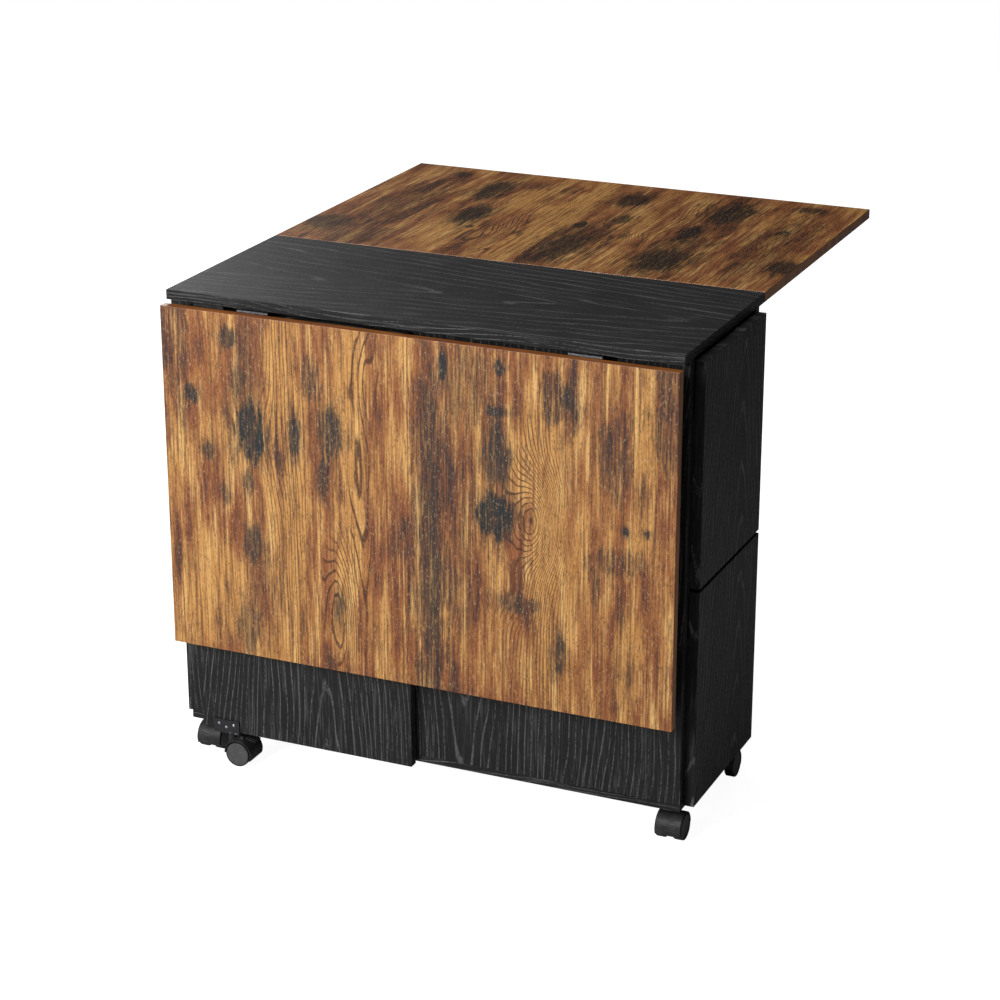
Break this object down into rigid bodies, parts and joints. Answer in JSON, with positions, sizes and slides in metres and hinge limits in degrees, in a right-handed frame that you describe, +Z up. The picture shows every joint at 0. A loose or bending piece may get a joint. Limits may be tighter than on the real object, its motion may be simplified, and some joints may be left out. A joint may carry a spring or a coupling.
{
  "type": "drop-leaf kitchen island cart",
  "caption": "Narrow storage cart on casters with end drawers and two drop leaves held up by swinging gate legs.",
  "frame": {"origin": "on the floor, under the middle of the whole table's box with one leaf hanging and one leaf raised", "axes": "+Z up, X along the leaf hinges and the cabinet's length, +Y from the hanging leaf towards the raised leaf"},
  "size_m": [0.832, 0.883, 0.75],
  "materials": {
    "black_laminate": "black woodgrain laminate on particle board, satin, with a lighter grey open oak grain",
    "rustic_laminate": "rustic brown laminate on particle board, satin, with knots and charcoal blotches",
    "drawer_board": "dark plain laminate on thin board, matt",
    "hinge_steel": "dark-plated pressed steel",
    "caster_steel": "black painted pressed steel",
    "caster_plastic": "dark grey moulded nylon, satin"
  },
  "bodies": {
    "cabinet": {"top_board": "black_laminate", "front_panel": "black_laminate", "rear_panel": "black_laminate", "bottom_board": "black_laminate", "centre_divider": "black_laminate", "shelf": "black_laminate", "front_leaf_hinge_left_fixed": "hinge_steel", "front_leaf_hinge_right_fixed": "hinge_steel", "front_gate_hinge_upper_fixed": "hinge_steel", "front_gate_hinge_lower_fixed": "hinge_steel", "rear_leaf_hinge_left_fixed": "hinge_steel", "rear_leaf_hinge_right_fixed": "hinge_steel", "rear_gate_hinge_upper_fixed": "hinge_steel", "rear_gate_hinge_lower_fixed": "hinge_steel", "front_left_caster_plate": "caster_steel", "front_right_caster_plate": "caster_steel", "rear_left_caster_plate": "caster_steel", "rear_right_caster_plate": "caster_steel"},
    "front_leaf": {"front_leaf": "rustic_laminate", "front_leaf_hinge_left_moving": "hinge_steel", "front_leaf_hinge_right_moving": "hinge_steel"},
    "front_gate": {"front_gate": "black_laminate", "front_gate_glide": "caster_plastic", "front_gate_hinge_upper_moving": "hinge_steel", "front_gate_hinge_lower_moving": "hinge_steel", "front_gate_caster_bracket": "caster_steel"},
    "rear_leaf": {"rear_leaf": "rustic_laminate", "rear_leaf_hinge_left_moving": "hinge_steel", "rear_leaf_hinge_right_moving": "hinge_steel"},
    "rear_gate": {"rear_gate": "black_laminate", "rear_gate_glide": "caster_plastic", "rear_gate_hinge_upper_moving": "hinge_steel", "rear_gate_hinge_lower_moving": "hinge_steel", "rear_gate_caster_bracket": "caster_steel"},
    "front_left_caster": {"front_left_caster_hood": "caster_plastic"},
    "front_left_wheels": {"front_left_caster_wheels": "caster_plastic"},
    "front_right_caster": {"front_right_caster_hood": "caster_plastic"},
    "front_right_wheels": {"front_right_caster_wheels": "caster_plastic"},
    "rear_left_caster": {"rear_left_caster_hood": "caster_plastic"},
    "rear_left_wheels": {"rear_left_caster_wheels": "caster_plastic"},
    "rear_right_caster": {"rear_right_caster_hood": "caster_plastic"},
    "rear_right_wheels": {"rear_right_caster_wheels": "caster_plastic"},
    "front_gate_caster": {"front_gate_caster_hood": "caster_plastic"},
    "front_gate_wheels": {"front_gate_caster_wheels": "caster_plastic"},
    "rear_gate_caster": {"rear_gate_caster_hood": "caster_plastic"},
    "rear_gate_wheels": {"rear_gate_caster_wheels": "caster_plastic"},
    "front_brake_pedal": {"front_gate_caster_brake_pedal": "caster_plastic"},
    "rear_brake_pedal": {"rear_gate_caster_brake_pedal": "caster_plastic"},
    "left_upper_drawer": {"left_upper_drawer_front": "black_laminate", "left_upper_drawer_box": "drawer_board", "left_upper_drawer_bottom": "drawer_board"},
    "left_lower_drawer": {"left_lower_drawer_front": "black_laminate", "left_lower_drawer_box": "drawer_board", "left_lower_drawer_bottom": "drawer_board"},
    "right_upper_drawer": {"right_upper_drawer_front": "black_laminate", "right_upper_drawer_box": "drawer_board", "right_upper_drawer_bottom": "drawer_board"},
    "right_lower_drawer": {"right_lower_drawer_front": "black_laminate", "right_lower_drawer_box": "drawer_board", "right_lower_drawer_bottom": "drawer_board"}
  },
  "joints": [
    {"name": "front_leaf_raise", "type": "hinge", "parent": "cabinet", "child": "front_leaf", "pos_m": [0, -0.423, 0.7315], "axis": [-1, 0, 0], "range_deg": [0, 90]},
    {"name": "rear_leaf_lift", "type": "hinge", "parent": "cabinet", "child": "rear_leaf", "pos_m": [0, -0.087, 0.7315], "axis": [1, 0, 0], "range_deg": [0, 2]},
    {"name": "front_gate_swing", "type": "hinge", "parent": "cabinet", "child": "front_gate", "pos_m": [-0.014, -0.402, 0.4], "axis": [0, 0, 1], "range_deg": [0, 1.5]},
    {"name": "rear_gate_swing", "type": "hinge", "parent": "cabinet", "child": "rear_gate", "pos_m": [0.014, -0.108, 0.4], "axis": [0, 0, -1], "range_deg": [0, 90]},
    {"name": "front_left_swivel", "type": "hinge", "parent": "cabinet", "child": "front_left_caster", "pos_m": [-0.379, -0.35, 0.05], "axis": [0, 0, 1], "continuous": true},
    {"name": "front_left_wheel_roll", "type": "hinge", "parent": "front_left_caster", "child": "front_left_wheels", "pos_m": [-0.379, -0.368, 0.02], "axis": [1, 0, 0], "continuous": true},
    {"name": "front_right_swivel", "type": "hinge", "parent": "cabinet", "child": "front_right_caster", "pos_m": [0.379, -0.35, 0.05], "axis": [0, 0, 1], "continuous": true},
    {"name": "front_right_wheel_roll", "type": "hinge", "parent": "front_right_caster", "child": "front_right_wheels", "pos_m": [0.379, -0.368, 0.02], "axis": [1, 0, 0], "continuous": true},
    {"name": "rear_left_swivel", "type": "hinge", "parent": "cabinet", "child": "rear_left_caster", "pos_m": [-0.379, -0.16, 0.05], "axis": [0, 0, 1], "continuous": true},
    {"name": "rear_left_wheel_roll", "type": "hinge", "parent": "rear_left_caster", "child": "rear_left_wheels", "pos_m": [-0.379, -0.142, 0.02], "axis": [-1, 0, 0], "continuous": true},
    {"name": "rear_right_swivel", "type": "hinge", "parent": "cabinet", "child": "rear_right_caster", "pos_m": [0.379, -0.16, 0.05], "axis": [0, 0, 1], "continuous": true},
    {"name": "rear_right_wheel_roll", "type": "hinge", "parent": "rear_right_caster", "child": "rear_right_wheels", "pos_m": [0.379, -0.142, 0.02], "axis": [-1, 0, 0], "continuous": true},
    {"name": "front_gate_swivel", "type": "hinge", "parent": "front_gate", "child": "front_gate_caster", "pos_m": [-0.33, -0.3995, 0.05], "axis": [0, 0, 1], "range_deg": [-135, 90]},
    {"name": "front_gate_wheel_roll", "type": "hinge", "parent": "front_gate_caster", "child": "front_gate_wheels", "pos_m": [-0.312, -0.3995, 0.02], "axis": [0, 1, 0], "continuous": true},
    {"name": "front_brake_press", "type": "hinge", "parent": "front_gate_caster", "child": "front_brake_pedal", "pos_m": [-0.30757, -0.3995, 0.04511], "axis": [0, 1, 0], "range_deg": [0, 10]},
    {"name": "rear_gate_swivel", "type": "hinge", "parent": "rear_gate", "child": "rear_gate_caster", "pos_m": [0.0165, 0.208, 0.05], "axis": [0, 0, 1], "continuous": true},
    {"name": "rear_gate_wheel_roll", "type": "hinge", "parent": "rear_gate_caster", "child": "rear_gate_wheels", "pos_m": [-0.0015, 0.208, 0.02], "axis": [0, -1, 0], "continuous": true},
    {"name": "rear_brake_press", "type": "hinge", "parent": "rear_gate_caster", "child": "rear_brake_pedal", "pos_m": [-0.00593, 0.208, 0.04511], "axis": [0, -1, 0], "range_deg": [0, 10]},
    {"name": "left_upper_drawer_slide", "type": "slide", "parent": "cabinet", "child": "left_upper_drawer", "axis": [-1, 0, 0], "range_m": [0, 0.28]},
    {"name": "left_lower_drawer_slide", "type": "slide", "parent": "cabinet", "child": "left_lower_drawer", "axis": [-1, 0, 0], "range_m": [0, 0.28]},
    {"name": "right_upper_drawer_slide", "type": "slide", "parent": "cabinet", "child": "right_upper_drawer", "axis": [1, 0, 0], "range_m": [0, 0.28]},
    {"name": "right_lower_drawer_slide", "type": "slide", "parent": "cabinet", "child": "right_lower_drawer", "axis": [1, 0, 0], "range_m": [0, 0.28]}
  ]
}
